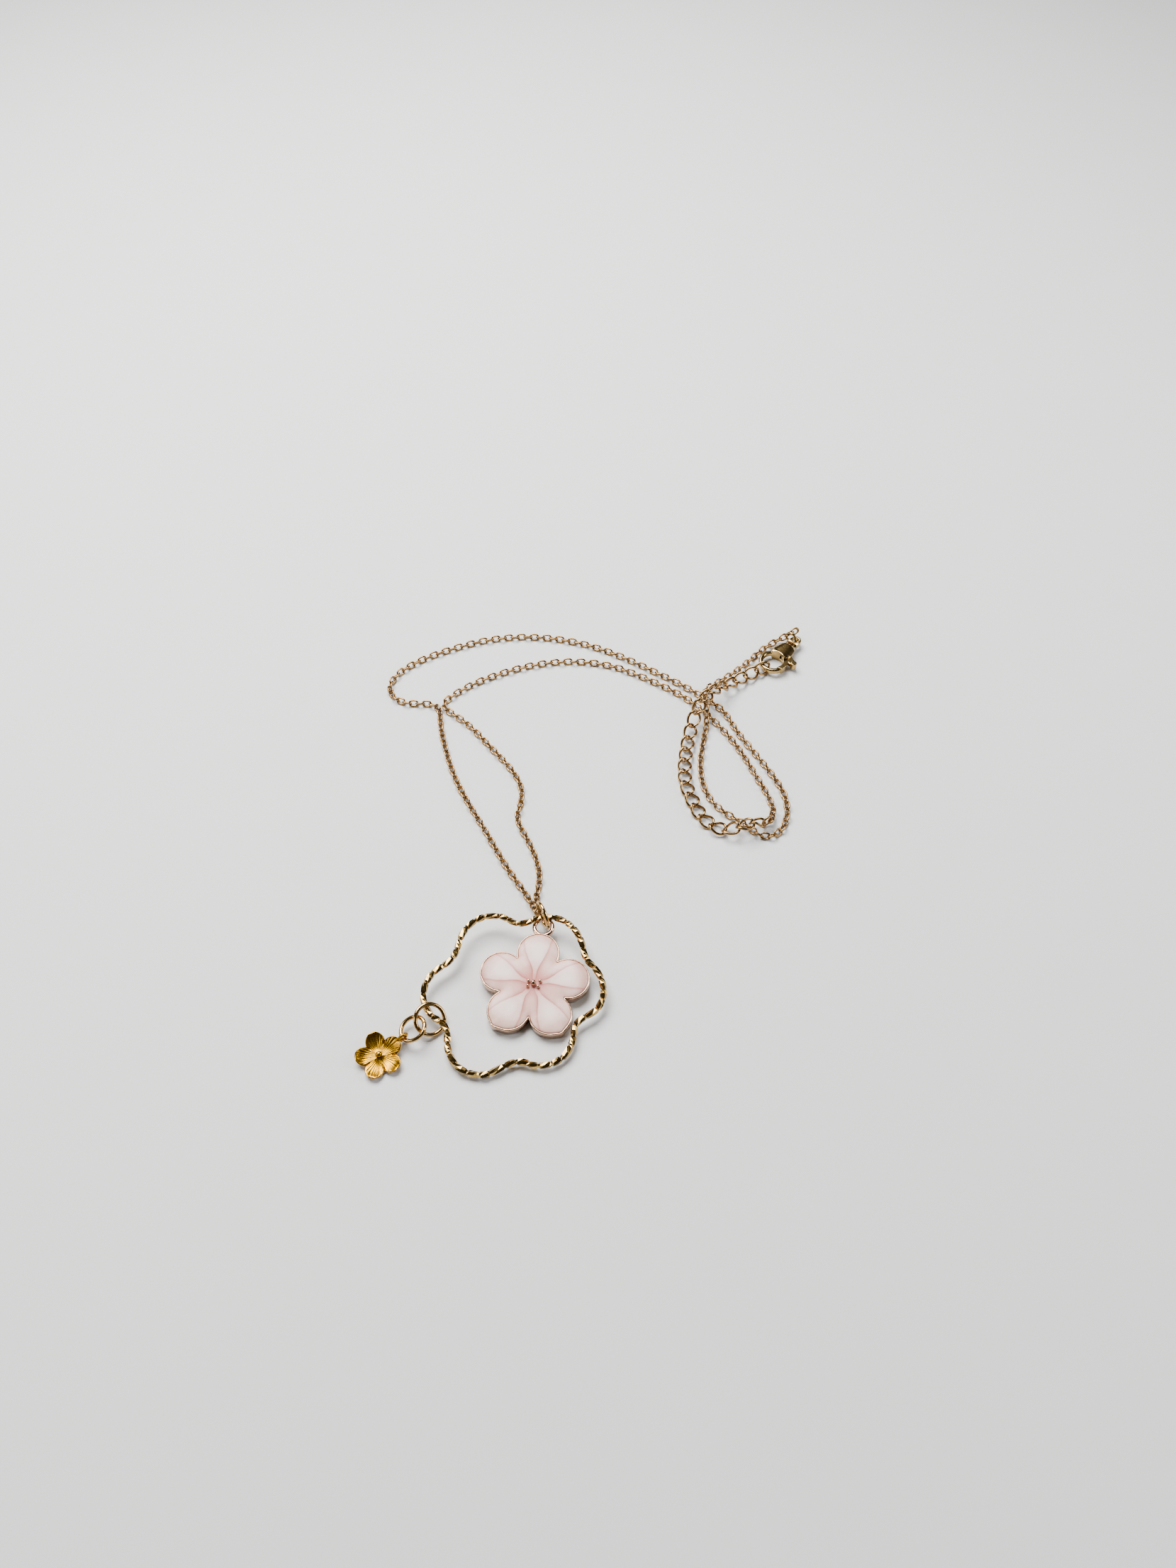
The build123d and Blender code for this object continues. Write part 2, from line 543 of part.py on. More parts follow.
lower_apart = upper_radius + lower_radius - lower_ring_lap
lower_side = upper_plane.origin + Vector(lower_apart * cos(radians(lower_ring_way)),
                                         lower_apart * sin(radians(lower_ring_way)), -lower_ring_drop)
towards = upper_plane.to_local_coords(lower_side)
facing = atan2(towards.Y, towards.X)
ring_lift = (upper_ring_wire + lower_ring_wire) / 2 + ring_play
spread = radians(crossing_spread)
crossings = []
for turn, side in ((facing - spread, -1), (facing + spread, 1)):
    crossings.append(upper_plane.from_local_coords(
        Vector(upper_radius * cos(turn), upper_radius * sin(turn), side * ring_lift)))
lower_plane = ring_plane(crossings[0], crossings[1], lower_radius, lower_side)
finish(jump_ring(lower_plane, lower_ring_size, lower_ring_wire), "charm_ring_lower")

# Charm flower: cupped petals, a middle bead and an eye round the lower ring's wire
petal_middle = charm_reach - charm_petal_width / 2
with BuildPart() as charm_petal:
    with Locations((charm_cup_reach, 0, charm_cup - charm_dish)):
        Sphere(charm_cup)
        Sphere(charm_cup - charm_sheet, mode=Mode.SUBTRACT)
    with BuildSketch(Plane.XY.offset(-charm_cup)):
        with Locations((petal_middle, 0)):
            Ellipse(charm_petal_width / 2 * charm_petal_long, charm_petal_width / 2)
    extrude(amount=charm_cup + charm_petal_top, mode=Mode.INTERSECT)
charm_eye_reach = charm_reach + charm_eye_size / 2 - charm_eye_wire
with BuildPart() as charm:
    for n in range(5):
        add(charm_petal.part.rotate(Axis.Z, charm_turn + 72 * n))
    with Locations((0, 0, -charm_core_drop)):
        Cylinder(charm_core, charm_core_height, align=(Align.CENTER, Align.CENTER, Align.MIN))
    with Locations((0, 0, charm_sheet / 2)):
        Cylinder(charm_bead / 2, charm_bead, align=(Align.CENTER, Align.CENTER, Align.MIN))
    with Locations((0, 0, charm_sheet + charm_bead)):
        Sphere(charm_bead)
charm_way = Vector(cos(radians(charm_turn)), sin(radians(charm_turn)), 0)
eye_at = charm_way * charm_eye_reach + Vector(0, 0, charm_eye_rise)
eye_plane = Plane(origin=eye_at, x_dir=charm_way, z_dir=charm_way.cross(Vector(0, 0, 1)))
with BuildPart(eye_plane) as charm_eye:
    Torus((charm_eye_size - charm_eye_wire) / 2, charm_eye_wire / 2)

flat_way = charm_way * -1 - lower_plane.z_dir * (charm_way * -1).dot(lower_plane.z_dir)
hang = lower_plane.origin + flat_way.normalized() * lower_radius
eye_play = charm_eye_size / 2 - charm_eye_wire - lower_ring_wire / 2 - seat_gap
lean = radians(charm_tilt)
leaning = Plane(origin=(0, 0, 0), x_dir=(1, 0, 0), z_dir=(0, -sin(lean), cos(lean)))
charm_place = Plane(origin=hang + Vector(0, 0, eye_play) - leaning.from_local_coords(eye_at),
                    x_dir=leaning.x_dir, z_dir=leaning.z_dir)
with BuildPart() as charm_flower:
    add(charm.part.moved(charm_place.location))
    add(charm_eye.part.moved(charm_place.location))
finish(charm_flower.part, "charm_flower")
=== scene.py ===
import math
import random

import bpy
import numpy as np
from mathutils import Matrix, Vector


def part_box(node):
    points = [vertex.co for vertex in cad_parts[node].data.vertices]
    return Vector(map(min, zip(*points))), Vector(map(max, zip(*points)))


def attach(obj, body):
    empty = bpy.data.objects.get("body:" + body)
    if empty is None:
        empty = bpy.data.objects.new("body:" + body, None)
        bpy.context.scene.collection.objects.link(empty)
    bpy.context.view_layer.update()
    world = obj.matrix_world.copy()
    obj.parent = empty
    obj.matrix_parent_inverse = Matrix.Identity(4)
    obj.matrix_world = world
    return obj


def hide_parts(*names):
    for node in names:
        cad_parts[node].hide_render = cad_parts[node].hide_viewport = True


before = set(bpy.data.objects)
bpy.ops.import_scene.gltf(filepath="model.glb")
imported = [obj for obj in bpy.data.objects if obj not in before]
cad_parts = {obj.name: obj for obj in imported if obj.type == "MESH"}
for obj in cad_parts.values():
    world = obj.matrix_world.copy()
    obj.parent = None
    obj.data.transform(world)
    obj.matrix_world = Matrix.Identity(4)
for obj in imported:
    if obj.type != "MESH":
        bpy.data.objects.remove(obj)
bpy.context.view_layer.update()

# Shapes are in millimetres, and MM brings them to metres. Lights and the scales of the
# materials are in metres.
MM = 0.001
# From the origin that the layout was read in to the middle of the whole, which is the frame's.
SHIFT = np.array([0.58, -0.42, 0.0])
chance = random.Random(7)


def put_in_scene(name, data):
    """An object that shows this data, linked to the scene."""
    made = bpy.data.objects.new(name, data)
    bpy.context.scene.collection.objects.link(made)
    return made


# ---------------------------------------------------------------- camera and light
CAMERA_HEIGHT = 205.1
LOOK_DOWN = math.radians(53)
AIM_X, AIM_Y = -1.92, 11.71
LENS, SENSOR = 27.67, 36
CLIP = (0.005, 10)

camera_data = bpy.data.cameras.new("camera")
camera_data.lens = LENS
camera_data.sensor_width = SENSOR
camera_data.clip_start, camera_data.clip_end = CLIP
camera = put_in_scene("camera", camera_data)
camera.location = (
    AIM_X * MM, (AIM_Y - CAMERA_HEIGHT / math.tan(LOOK_DOWN)) * MM, CAMERA_HEIGHT * MM)
camera.rotation_euler = (math.pi / 2 - LOOK_DOWN, 0, 0)
bpy.context.scene.camera = camera

# Name, place, size, power and colour of each panel. All of them face the origin.
LIGHTS = [
    ("key", (-0.14, 0.28, 0.46), (0.44, 0.34), 9.6, (1.0, 0.985, 0.965)),
    ("side", (0.42, 0.02, 0.24), (0.10, 0.30), 1.3, (0.97, 0.98, 1.0)),
    ("left", (-0.40, -0.12, 0.22), (0.08, 0.26), 0.7, (1.0, 0.97, 0.94)),
]
for name, place, size, power, colour in LIGHTS:
    panel = bpy.data.lights.new(name, "AREA")
    panel.shape = "RECTANGLE"
    panel.size, panel.size_y = size
    panel.energy = power
    panel.color = colour
    light = put_in_scene(name, panel)
    light.location = place
    light.rotation_euler = (-Vector(place)).to_track_quat("-Z", "Y").to_euler()

world = bpy.data.worlds.new("studio")
bpy.context.scene.world = world
world.use_nodes = True
background = world.node_tree.nodes["Background"]
background.inputs["Color"].default_value = (0.78, 0.76, 0.76, 1)
background.inputs["Strength"].default_value = 0.07


# ---------------------------------------------------------------- materials
# Sockets of a Mix node that blends colours.
MIX_FACTOR, MIX_FIRST, MIX_SECOND, MIX_RESULT = 0, 6, 7, 2


class Nodes:
    """Short names for building a material's nodes."""

    def __init__(self, name):
        self.material = bpy.data.materials.new(name)
        self.material.use_nodes = True
        self.tree = self.material.node_tree
        self.shader = self.tree.nodes["Principled BSDF"]
        self.coords = self.tree.nodes.new("ShaderNodeTexCoord").outputs["Object"]

    def put(self, socket, value):
        """Links another node's output to a socket, or sets the socket's own value."""
        if isinstance(value, bpy.types.NodeSocket):
            self.tree.links.new(value, socket)
        else:
            socket.default_value = value

    def set(self, key, value):
        self.put(self.shader.inputs[key], value)

    def node(self, kind, **inputs):
        made = self.tree.nodes.new(kind)
        for key, value in inputs.items():
            self.put(made.inputs[key.replace("_", " ")], value)
        return made

    def noise(self, scale, detail, roughness):
        made = self.node("ShaderNodeTexNoise", Scale=scale, Detail=detail, Roughness=roughness,
                         Vector=self.coords)
        return made.outputs["Fac"]

    def span(self, value, low, high, first=0.0, last=1.0):
        """A value that runs from first to last, brought to run from low to high."""
        made = self.node("ShaderNodeMapRange", Value=value, From_Min=first, From_Max=last,
                         To_Min=low, To_Max=high)
        return made.outputs["Result"]

    def mix(self, factor, first, second):
        """Blend of two colours, each an RGB tuple or another node's output."""
        made = self.tree.nodes.new("ShaderNodeMix")
        made.data_type = "RGBA"
        for socket, value in ((MIX_FACTOR, factor), (MIX_FIRST, first), (MIX_SECOND, second)):
            self.put(made.inputs[socket], (*value, 1) if isinstance(value, tuple) else value)
        return made.outputs[MIX_RESULT]

    def bump(self, height, strength, distance):
        made = self.node("ShaderNodeBump", Strength=strength, Distance=distance, Height=height)
        return made.outputs["Normal"]

    def attribute(self, name):
        made = self.tree.nodes.new("ShaderNodeAttribute")
        made.attribute_name = name
        return made.outputs["Fac"]


# The grain of the plating: how much finer than its patches, and how deep in metres.
GRAIN_SCALE, GRAIN_DEPTH = 7, 0.00002
GLOSSY, DULL = 0.8, 1.35


def plated(name, light, dark, roughness, bump=0.15, worn=0.35, scale=900):
    """Plated metal: a light and a dark tone in soft patches, and a fine grain in its gloss."""
    made = Nodes(name)
    patches = made.span(made.noise(scale, 4.0, 0.6), 0, 1, 0.5 - worn / 2, 0.5 + worn)
    grain = made.noise(scale * GRAIN_SCALE, 3.0, 0.6)
    made.set("Metallic", 1.0)
    made.set("Base Color", made.mix(patches, light, dark))
    made.set("Roughness", made.span(grain, roughness * GLOSSY, roughness * DULL, 0.3, 0.7))
    made.set("Normal", made.bump(grain, bump, GRAIN_DEPTH))
    return made.material


materials = {
    "chain": plated("chain_gold", (0.40, 0.235, 0.085), (0.15, 0.08, 0.03), 0.22),
    "extender": plated("extender_gold", (0.42, 0.25, 0.09), (0.17, 0.09, 0.03), 0.20),
    "clasp": plated("clasp_gold", (0.50, 0.34, 0.13), (0.33, 0.21, 0.07), 0.15, bump=0.015),
    "frame": plated("frame_gold", (0.54, 0.35, 0.105), (0.20, 0.11, 0.028), 0.12,
                    bump=0.05, worn=0.25, scale=1300),
    "ring": plated("ring_gold", (0.64, 0.41, 0.14), (0.40, 0.22, 0.065), 0.13),
    "charm": plated("charm_gold", (0.52, 0.27, 0.010), (0.25, 0.10, 0.003), 0.27, bump=0.08),
    "setting": plated("setting_gold", (0.68, 0.46, 0.33), (0.34, 0.19, 0.115), 0.15),
}


# ---------------------------------------------------------------- floor
# Half of its side and its drop below the part, in metres.
FLOOR_HALF, FLOOR_DROP = 3, 0.00002

floor_nodes = Nodes("pale_floor")
clouds = floor_nodes.noise(35, 4.0, 0.6)
floor_nodes.set("Base Color", floor_nodes.mix(clouds, (0.70, 0.705, 0.71), (0.74, 0.74, 0.745)))
floor_nodes.set("Roughness", 0.6)
floor_nodes.set("Specular IOR Level", 0.25)
floor_mesh = bpy.data.meshes.new("floor")
floor_corners = [(-FLOOR_HALF, -FLOOR_HALF, 0), (FLOOR_HALF, -FLOOR_HALF, 0),
                 (FLOOR_HALF, FLOOR_HALF, 0), (-FLOOR_HALF, FLOOR_HALF, 0)]
floor_mesh.from_pydata(floor_corners, [], [(0, 1, 2, 3)])
floor_mesh.materials.append(floor_nodes.material)
floor = put_in_scene("floor", floor_mesh)
floor.location.z = -FLOOR_DROP


# ---------------------------------------------------------------- shapes
UP = np.array([0, 0, 1.0])
# Points of a spline to each of the points that it is drawn from.
SPAN_POINTS = 24


def mesh_object(name, points, faces, material, smooth=True):
    """Mesh from points in millimetres."""
    mesh = bpy.data.meshes.new(name)
    mesh.from_pydata((np.asarray(points) * MM).tolist(), [], [list(f) for f in faces])
    mesh.materials.append(material)
    mesh.polygons.foreach_set("use_smooth", [smooth] * len(mesh.polygons))
    mesh.update()
    return put_in_scene(name, mesh)


def turns(count):
    """Evenly spaced angles, once round."""
    return np.linspace(0, 2 * np.pi, count, endpoint=False)


def unit(v):
    return v / np.linalg.norm(v, axis=-1, keepdims=True)


def spline(points, closed=False):
    """Smooth curve near a list of points, tangent to each run between two at its middle."""
    points = np.asarray(points, float)
    if closed:
        runs = np.concatenate([points[-1:], points, points[:1]])
    else:
        runs = np.concatenate(
            [[2 * points[0] - points[1]], points, [2 * points[-1] - points[-2]]])
    t = np.linspace(0, 1, SPAN_POINTS, endpoint=False)[:, None]
    line = np.concatenate([
        0.5 * (1 - t) ** 2 * before + (0.5 + t * (1 - t)) * here + 0.5 * t**2 * after
        for before, here, after in zip(runs, runs[1:], runs[2:])
    ])
    return line if closed else np.concatenate([line, points[-1:]])


def lengths(line, closed=False):
    """Length along a line up to each of its points, and back to its start if it is closed."""
    if closed:
        line = np.concatenate([line, line[:1]])
    return np.concatenate([[0], np.cumsum(np.linalg.norm(np.diff(line, axis=0), axis=1))])


def along(line, at, closed=False):
    """Points at the given lengths along a line."""
    s = lengths(line, closed)
    if closed:
        line = np.concatenate([line, line[:1]])
        at = np.asarray(at) % s[-1]
    return np.stack([np.interp(at, s, line[:, k]) for k in range(3)], axis=1)


def joined(parts):
    """One list of points and one of faces from several of each."""
    points, faces, base = [], [], 0
    for form, form_faces in parts:
        points.append(form)
        faces += [tuple(i + base for i in face) for face in form_faces]
        base += len(form)
    return np.concatenate(points), faces


def loop_faces(rows, count, closed=False):
    """Faces between rows of points that are closed loops, and from the last to the first if
    closed. They face out if a row turns left and the next one is above it."""
    faces = []
    for i in range(rows if closed else rows - 1):
        j = (i + 1) % rows
        for k in range(count):
            m = (k + 1) % count
            faces.append((i * count + k, i * count + m, j * count + m, j * count + k))
    return faces


def turned_over(faces):
    """The same faces with their other side out."""
    return [(face[0], *face[:0:-1]) for face in faces]


def swept(centre, out, across, radius, angles):
    """Points of a wire round its centre line, at angles that turn from out to across."""
    ring = centre[:, None] + radius * (
        np.cos(angles)[..., None] * out[:, None] + np.sin(angles)[..., None] * across)
    return ring.reshape(-1, 3)


def turned_axes(angle):
    """Axes turned about Z by an angle in radians."""
    c, s = math.cos(angle), math.sin(angle)
    return np.array([[c, s, 0], [-s, c, 0], [0, 0, 1]])


def link_form(half_long, half_wide, wire, square, twist, rings, sides):
    """Points and faces of an oval wire link in its own axes, with its ends twisted apart.
    A square of 1 makes an ellipse, and a lower one makes its corners fuller."""
    a = turns(rings)
    x, across = (half * np.sign(wave) * np.abs(wave) ** square
                 for half, wave in ((half_long, np.cos(a)), (half_wide, np.sin(a))))
    lean = twist * np.cos(a)
    centre = np.stack([x, across * np.cos(lean), across * np.sin(lean)], axis=1)
    tangent = unit(np.roll(centre, -1, 0) - np.roll(centre, 1, 0))
    out = unit(centre - tangent * (centre * tangent).sum(1, keepdims=True))
    down = np.cross(tangent, out)
    points = swept(centre, out, down[:, None], wire / 2, turns(sides)[None])
    return points, loop_faces(rings, sides, closed=True)


def torus(major, minor, rings, sides, start=0.0, end=2 * math.pi):
    """Points and faces of a ring of wire in the XY plane. An open one has capped ends, which
    are its last two faces."""
    whole = abs(end - start - 2 * math.pi) < 1e-6
    a = np.linspace(start, end, rings, endpoint=not whole)
    out = np.stack([np.cos(a), np.sin(a), 0 * a], axis=1)
    points = swept(major * out, out, UP, minor, turns(sides)[None])
    faces = turned_over(loop_faces(rings, sides, closed=whole))
    if not whole:
        faces.append(tuple(range(sides)))
        faces.append(tuple((rings - 1) * sides + k for k in reversed(range(sides))))
    return points, faces


def ball(radius, middle, rows, columns):
    """Points and faces of a sphere."""
    height = np.linspace(-np.pi / 2, np.pi / 2, rows + 2)[1:-1, None]
    turn = turns(columns)
    points = np.stack([np.cos(height) * np.cos(turn), np.cos(height) * np.sin(turn),
                       np.broadcast_to(np.sin(height), (rows, columns))], axis=-1)
    points = np.concatenate([points.reshape(-1, 3), -UP[None], UP[None]]) * radius + middle
    faces = loop_faces(rows, columns)
    bottom, top, last_row = rows * columns, rows * columns + 1, (rows - 1) * columns
    for k in range(columns):
        m = (k + 1) % columns
        faces.append((m, k, bottom))
        faces.append((last_row + k, last_row + m, top))
    return points, faces


def post(radius, x, y, low, high, sides):
    """Points and faces of a short upright cylinder, open at its ends."""
    turn = turns(sides)
    circle = [x + radius * np.cos(turn), y + radius * np.sin(turn)]
    rows = [np.column_stack([*circle, np.full(sides, z)]) for z in (low, high)]
    return np.concatenate(rows), loop_faces(2, sides)


# ---------------------------------------------------------------- fine chain
# Heights of the wire's middle on the surface, and where a strand crosses over others.
LOW, OVER = 0.62, 2.36
LONG_ROUTE = [
    (-12.95, -19.72, 1.62), (-13.85, -17.6, 0.8), (-15.0, -15.5, LOW), (-17.8, -11.3, LOW),
    (-20.5, -6.6, LOW), (-23.9, 0.0, LOW), (-27.2, 5.8, LOW), (-30.0, 11.2, LOW),
    (-32.0, 16.2, LOW), (-33.5, 21.4, LOW), (-34.8, 26.4, LOW), (-35.3, 30.6, LOW),
    (-35.8, 33.4, LOW), (-38.6, 34.3, LOW), (-42.2, 34.1, LOW), (-45.6, 35.2, LOW),
    (-47.7, 38.6, LOW), (-46.4, 42.6, LOW), (-43.2, 45.9, LOW), (-38.6, 48.8, LOW),
    (-33.0, 51.4, LOW), (-25.6, 54.0, LOW), (-17.8, 54.9, LOW), (-9.8, 54.3, LOW),
    (-1.9, 52.1, LOW), (5.6, 48.4, LOW), (12.4, 44.0, LOW), (17.9, 40.4, LOW),
    (21.7, 37.5, LOW), (24.9, 34.9, LOW), (28.0, 31.8, LOW), (29.9, 26.6, LOW),
    (33.3, 20.6, LOW), (36.8, 14.4, LOW), (39.2, 8.8, LOW), (39.2, 3.2, LOW),
    (37.1, -1.2, LOW), (33.3, -2.3, LOW), (30.3, 1.1, LOW), (27.0, 3.3, LOW),
    (23.6, 6.6, LOW), (21.7, 11.6, LOW), (21.6, 17.6, LOW), (22.6, 23.2, LOW),
    (23.5, 27.0, LOW), (23.9, 31.0, OVER), (23.2, 36.6, OVER), (26.3, 40.0, LOW),
    (30.6, 43.2, LOW), (34.9, 47.4, LOW), (38.6, 51.5, LOW), (43.95, 54.35, 1.6),
]
SHORT_ROUTE = [
    (-11.55, -20.24, 1.78), (-12.75, -18.1, 1.3), (-12.7, -16.2, LOW), (-12.3, -13.6, LOW),
    (-12.2, -10.8, LOW), (-13.2, -6.6, LOW), (-15.2, -2.0, LOW), (-17.6, 2.6, LOW),
    (-16.4, 7.2, LOW), (-16.6, 11.4, LOW), (-19.2, 16.2, LOW), (-24.2, 22.3, LOW),
    (-28.3, 27.6, LOW), (-31.9, 30.7, LOW), (-35.5, 33.5, LOW), (-33.0, 36.6, LOW),
    (-29.8, 39.2, LOW), (-25.6, 41.8, LOW), (-18.8, 44.8, LOW), (-12.0, 46.6, LOW),
    (-4.6, 47.1, LOW), (2.6, 45.9, LOW), (9.2, 42.7, LOW), (15.0, 39.1, LOW),
    (19.3, 36.1, LOW), (22.0, 33.3, LOW), (25.0, 29.8, LOW), (28.2, 25.1, LOW),
    (30.9, 20.0, LOW), (33.2, 14.2, LOW), (35.3, 9.2, LOW), (36.4, 5.0, LOW),
    (35.5, 2.05, 1.6),
]
PITCH = 1.5
# How far each link rolls about the chain, to one side and the other by turns.
ROLL, ROLL_SPREAD = 45, 9
fine_form, fine_faces = link_form(0.96, 0.615, 0.41, square=0.86, twist=0, rings=22, sides=8)


def fine_chain(name, route, node, before=None):
    """A strand of links along a route, from a link that starts at the point before it."""
    line = spline(np.array(route) + SHIFT)
    total = lengths(line)[-1]
    joints = along(line, np.linspace(0, total, round(total / PITCH) + 1))
    if before is not None:
        joints = np.concatenate([[np.array(before) + SHIFT], joints])
    links = []
    for n, (start, end) in enumerate(zip(joints, joints[1:])):
        roll = math.radians(ROLL + chance.uniform(-ROLL_SPREAD, ROLL_SPREAD)) * (-1, 1)[n % 2]
        x = unit(end - start)
        z = unit(UP - x * x[2])
        y = np.cross(z, x)
        c, s = math.cos(roll), math.sin(roll)
        axes = np.stack([x, c * y + s * z, -s * y + c * z])
        links.append((fine_form @ axes + (start + end) / 2, fine_faces))
    chain = mesh_object(name, *joined(links), materials["chain"])
    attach(chain, "necklace")
    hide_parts(node)


fine_chain("chain_long_links", LONG_ROUTE, "chain_long", before=SHORT_ROUTE[0])
fine_chain("chain_short_links", SHORT_ROUTE, "chain_short")


# ---------------------------------------------------------------- wire frame, diamond cut
FRAME_REACH, FRAME_WIRE = 17.0, 1.4
FRAME_TILT = math.radians(4.7605)
# Angle and reach of each crest and of the hollow after it, as shares of FRAME_REACH.
FRAME_LOBES = [
    (56.5, 1.02, 88.0, 0.83), (114.5, 0.985, 150.0, 0.81), (181.0, 0.985, 209.0, 0.82),
    (240.0, 1.01, 274.0, 0.785), (303.0, 0.915, 333.6, 0.78), (362.0, 0.985, 386.5, 0.91),
]
# A spline cuts inside its points, so they stand past the crests and the hollows.
CREST_HALF, CREST_SIDE, CREST_PAST, HOLLOW_PAST = 15, 0.97, 1.025, 0.96
# Length of a cut and how far its ends stray, as a share of it.
CUT, CUT_STRAY = 2.3, 0.16
SIDES, NARROWEST_SIDE = 7, 0.86
# Along a cut: place, share of the wire's width, and turn.
CUT_PROFILE = [(0.0, 0.66, 0.0), (0.15, 0.96, 0.10), (0.5, 1.0, 0.30), (0.85, 0.96, 0.50)]
FIRST_TURN = math.pi / 3
# Length to each side over which the wire's direction is taken.
DIRECTION_STEP = 0.05
# A ring that turns by over three quarters of a side is joined one side further on.
SKIP_BIAS = 0.25

frame_points = []
for crest, crest_reach, hollow, hollow_reach in FRAME_LOBES:
    for angle, reach in ((crest - CREST_HALF, crest_reach * CREST_SIDE),
                         (crest, crest_reach * CREST_PAST),
                         (crest + CREST_HALF, crest_reach * CREST_SIDE),
                         (hollow, hollow_reach * HOLLOW_PAST)):
        a = math.radians(angle)
        frame_points.append(
            (FRAME_REACH * reach * math.cos(a), FRAME_REACH * reach * math.sin(a), 0))
flat = spline(frame_points, closed=True)
tilted = np.stack([flat[:, 0], flat[:, 1] * math.cos(FRAME_TILT),
                   flat[:, 1] * math.sin(FRAME_TILT)], axis=1)
frame_low, frame_high = (np.array(corner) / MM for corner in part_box("flower_frame"))
frame_line = tilted + (frame_low + frame_high) / 2 - (tilted.max(0) + tilted.min(0)) / 2
frame_length = lengths(frame_line, closed=True)[-1]

cuts = round(frame_length / CUT)
ends = np.linspace(0, frame_length, cuts, endpoint=False)
ends += np.array([chance.uniform(-CUT_STRAY, CUT_STRAY) for _ in ends]) * CUT
at, share, turn = [], [], []
for n in range(cuts):
    run = (ends[(n + 1) % cuts] - ends[n]) % frame_length
    first = chance.uniform(0, FIRST_TURN)
    flats = np.array([chance.uniform(NARROWEST_SIDE, 1.0) for _ in range(SIDES)])
    for place, width, twist in CUT_PROFILE:
        at.append(ends[n] + place * run)
        share.append(width * flats)
        turn.append(first + twist)
at, share, turn = np.array(at) % frame_length, np.array(share), np.array(turn)

tangent = unit(along(frame_line, at + DIRECTION_STEP, closed=True)
               - along(frame_line, at - DIRECTION_STEP, closed=True))
normal = np.array([0, -math.sin(FRAME_TILT), math.cos(FRAME_TILT)])
frame_rings = swept(along(frame_line, at, closed=True), unit(np.cross(tangent, normal)), normal,
                    (FRAME_WIRE / 2 * share)[:, :, None], turns(SIDES)[None] + turn[:, None])
frame_faces = []
for i in range(len(at)):
    j = (i + 1) % len(at)
    skip = round((turn[j] - turn[i]) * SIDES / (2 * math.pi) - SKIP_BIAS)
    for k in range(SIDES):
        here, here_next = i * SIDES + k, i * SIDES + (k + 1) % SIDES
        there, there_next = j * SIDES + (k - skip) % SIDES, j * SIDES + (k + 1 - skip) % SIDES
        frame_faces.append((here, there, there_next, here_next))
wire_frame = mesh_object("frame_wire", frame_rings, frame_faces, materials["frame"], smooth=False)
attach(wire_frame, "necklace")
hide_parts("flower_frame")


# ---------------------------------------------------------------- extender chain, curb links
def own_axes(node):
    """Axes and middle of a symmetric CAD piece: its length, width and thickness."""
    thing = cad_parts[node]
    faces = thing.data.polygons
    area = np.array([face.area for face in faces])
    points = np.array([thing.matrix_world @ face.center for face in faces]) / MM
    points = points - np.average(points, axis=0, weights=area)
    axes = np.linalg.svd(points * np.sqrt(area)[:, None], full_matrices=False)[2]
    if np.linalg.det(axes) < 0:
        axes[2] = -axes[2]
    local = np.array([thing.matrix_world @ v.co for v in thing.data.vertices]) / MM @ axes.T
    return axes, (local.max(0) + local.min(0)) / 2 @ axes


curb, curb_faces = link_form(
    1.85, 1.30, 0.56, square=0.92, twist=math.radians(45), rings=44, sides=12)
curb_nodes = sorted(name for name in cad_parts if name.startswith("extender_link"))
curb_links = []
for node in curb_nodes:
    axes, middle = own_axes(node)
    curb_links.append((curb @ axes + middle, curb_faces))
extender = mesh_object("extender_links", *joined(curb_links), materials["extender"])
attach(extender, "necklace")
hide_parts(*curb_nodes)


# ---------------------------------------------------------------- jump rings, each with a cut
# Node, width over all, wire, direction of its cut and metal.
RINGS = [
    ("pendant_ring", 5.95, 0.75, 150, "ring"),
    ("charm_ring_upper", 6.4, 0.8, -12, "ring"),
    ("charm_ring_lower", 5.6, 0.8, 18, "ring"),
    ("clasp_ring", 3.3, 0.6, 20, "clasp"),
    ("extender_ring", 2.9, 0.5, 200, "extender"),
]
RING_CUT = 0.05
# How far the direction of a cut points up, as a share of its length in the plane.
CUT_RISE = 0.35

for node, size, wire, cut_at, metal in RINGS:
    axes, middle = own_axes(node)
    cut_turn = math.radians(cut_at)
    toward = axes @ np.array([math.cos(cut_turn), math.sin(cut_turn), CUT_RISE])
    start = math.atan2(toward[1], toward[0])
    half = RING_CUT / (size - wire)
    form, faces = torus((size - wire) / 2, wire / 2, 80, 14,
                        start + half, start + 2 * math.pi - half)
    made = mesh_object(node + "_cut", form @ axes + middle, faces, materials[metal])
    for face in list(made.data.polygons)[-2:]:
        face.use_smooth = False
    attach(made, "necklace")
    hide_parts(node)


# ---------------------------------------------------------------- clasp with rounded edges
CLASP_MIDDLE = np.array([39.9, 46.1, 1.35]) + SHIFT
CLASP_TURN = math.radians(48)
# Along the clasp from its middle: the body's widest place and its eye, with half widths.
BODY_AT, BODY_WIDE, EYE_AT, EYE_WIDE = 3.4, 2.35, 8.7, 1.25
# Where the rounded back starts, is full, is full until, and ends.
BACK_PLACES = [1.6, 2.8, 6.6, 7.8]
BACK_FALL, BACK_POWER = 0.5, 2.6
# Depth, place and length of the waist, in height and in width.
WAIST_HEIGHT, WAIST_WIDTH = (0.22, 7.3, 0.9), (0.20, 6.9, 1.1)


def waist(x, depth, place, length):
    return 1 - depth * np.exp(-(((x - place) / length) ** 2))


